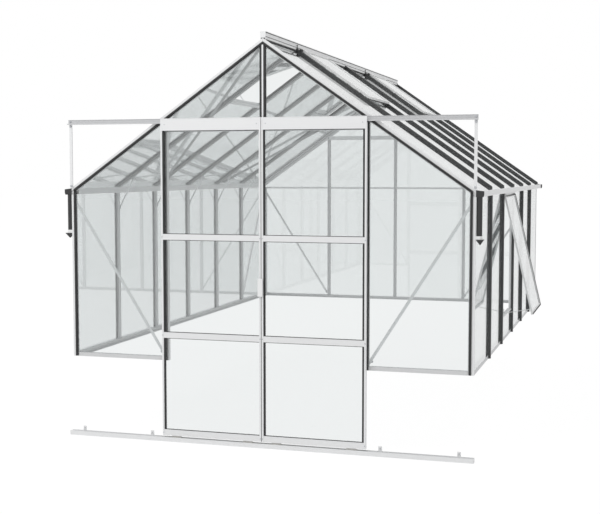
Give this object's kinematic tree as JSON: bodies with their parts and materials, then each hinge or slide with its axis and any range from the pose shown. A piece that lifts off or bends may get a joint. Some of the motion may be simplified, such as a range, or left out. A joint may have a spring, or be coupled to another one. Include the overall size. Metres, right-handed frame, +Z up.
{
  "type": "glass greenhouse",
  "caption": "Aluminium-framed glass greenhouse for a low wall, with a pair of sliding doors that hang down to the ground, opening roof vents and a side window.",
  "frame": {"origin": "middle of the rear base sill, on its underside, where the base is bolted to the low wall", "axes": "+X to the right across the door gable, +Y from the door gable to the rear gable, +Z up"},
  "size_m": [2.8326, 3.912, 2.523],
  "materials": {
    "aluminium": "satin mill-finish extrusion",
    "white_aluminium": "pale satin coating",
    "black_rubber": "matt black extruded strip",
    "black_plastic": "matt black moulding",
    "nylon": "smooth nylon",
    "glass": "clear toughened glass, faint green edge"
  },
  "bodies": {
    "house": {"base_sills": "aluminium", "corner_posts": "aluminium", "door_bottom_track": "aluminium", "door_header": "aluminium", "door_jamb_seals": "black_rubber", "door_jambs": "aluminium", "door_top_track": "aluminium", "downpipe_clips": "aluminium", "downpipes": "black_plastic", "eaves_rails": "aluminium", "front_gable_glass": "glass", "gable_strips": "black_rubber", "gutter_end_caps": "black_plastic", "king_post": "aluminium", "knee_braces": "aluminium", "rafters": "aluminium", "rear_gable_bars": "aluminium", "rear_gable_caps": "black_rubber", "rear_gable_glass": "glass", "rear_gable_tie": "aluminium", "rear_glass_joints": "glass", "ridge": "aluminium", "roof_bars": "aluminium", "roof_braces": "aluminium", "roof_caps": "black_rubber", "roof_glass_left": "glass", "roof_glass_right": "glass", "roof_seals": "black_rubber", "roof_vent_frames": "white_aluminium", "roof_vent_glass": "glass", "roof_vent_hinges": "aluminium", "roof_vent_sills": "aluminium", "side_bars": "aluminium", "side_caps": "black_rubber", "side_glass_left": "glass", "side_glass_right": "glass", "side_window_frame": "white_aluminium", "side_window_glass": "glass", "side_window_seals": "black_rubber", "side_window_sill": "aluminium", "track_struts": "aluminium", "wall_braces": "aluminium", "window_stays": "aluminium"},
    "left_door": {"door_frame_left": "aluminium", "door_glass_left": "glass", "door_handle": "white_aluminium", "door_rails_left": "aluminium", "door_runners_left": "nylon", "door_seals_left": "black_rubber"},
    "right_door": {"door_frame_right": "aluminium", "door_glass_right": "glass", "door_rails_right": "aluminium", "door_runners_right": "nylon", "door_seals_right": "black_rubber"}
  },
  "joints": [
    {"name": "left_door_slide", "type": "slide", "parent": "house", "child": "left_door", "axis": [-1, 0, 0], "range_m": [0, 0.63]},
    {"name": "right_door_slide", "type": "slide", "parent": "house", "child": "right_door", "axis": [1, 0, 0], "range_m": [0, 0.63]}
  ]
}
